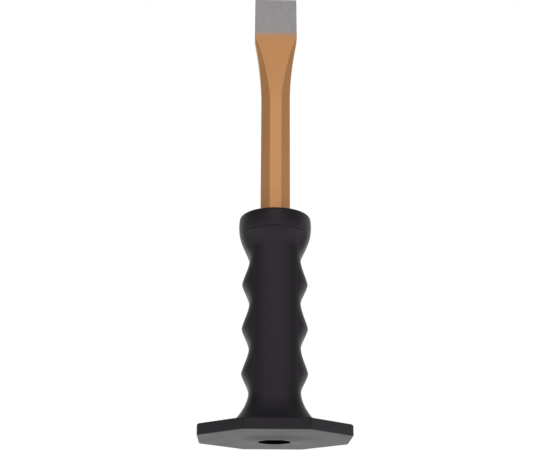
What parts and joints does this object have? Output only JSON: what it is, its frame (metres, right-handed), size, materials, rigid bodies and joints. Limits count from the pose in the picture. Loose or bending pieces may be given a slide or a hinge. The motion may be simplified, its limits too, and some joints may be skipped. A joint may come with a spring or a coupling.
{
  "type": "cold chisel",
  "caption": "Flat cold chisel of eight-sided bar with a wedge blade, in a push-on soft hand guard with finger grooves, a round collar and an eight-sided plate.",
  "frame": {"origin": "centre of the flat ring round the mouth of the guard's bore, which the tool stands on", "axes": "+Z along the chisel from the guard to the cutting edge, +X along the cutting edge, -Y the side the picture shows"},
  "size_m": [0.0794, 0.0794, 0.2577],
  "materials": {
    "gold_lacquer": "copper-gold metallic lacquer with a fine orange peel, ending in a soft edge below the bare ground blade tip",
    "guard_rubber": "black soft moulding, satin with a fine grain"
  },
  "bodies": {
    "chisel": {"chisel_body": "gold_lacquer"},
    "guard": {"hand_guard": "guard_rubber"}
  },
  "joints": [
    {"name": "guard_slide", "type": "slide", "parent": "chisel", "child": "guard", "axis": [0, 0, 1], "range_m": [-0.11, 0.072]}
  ]
}
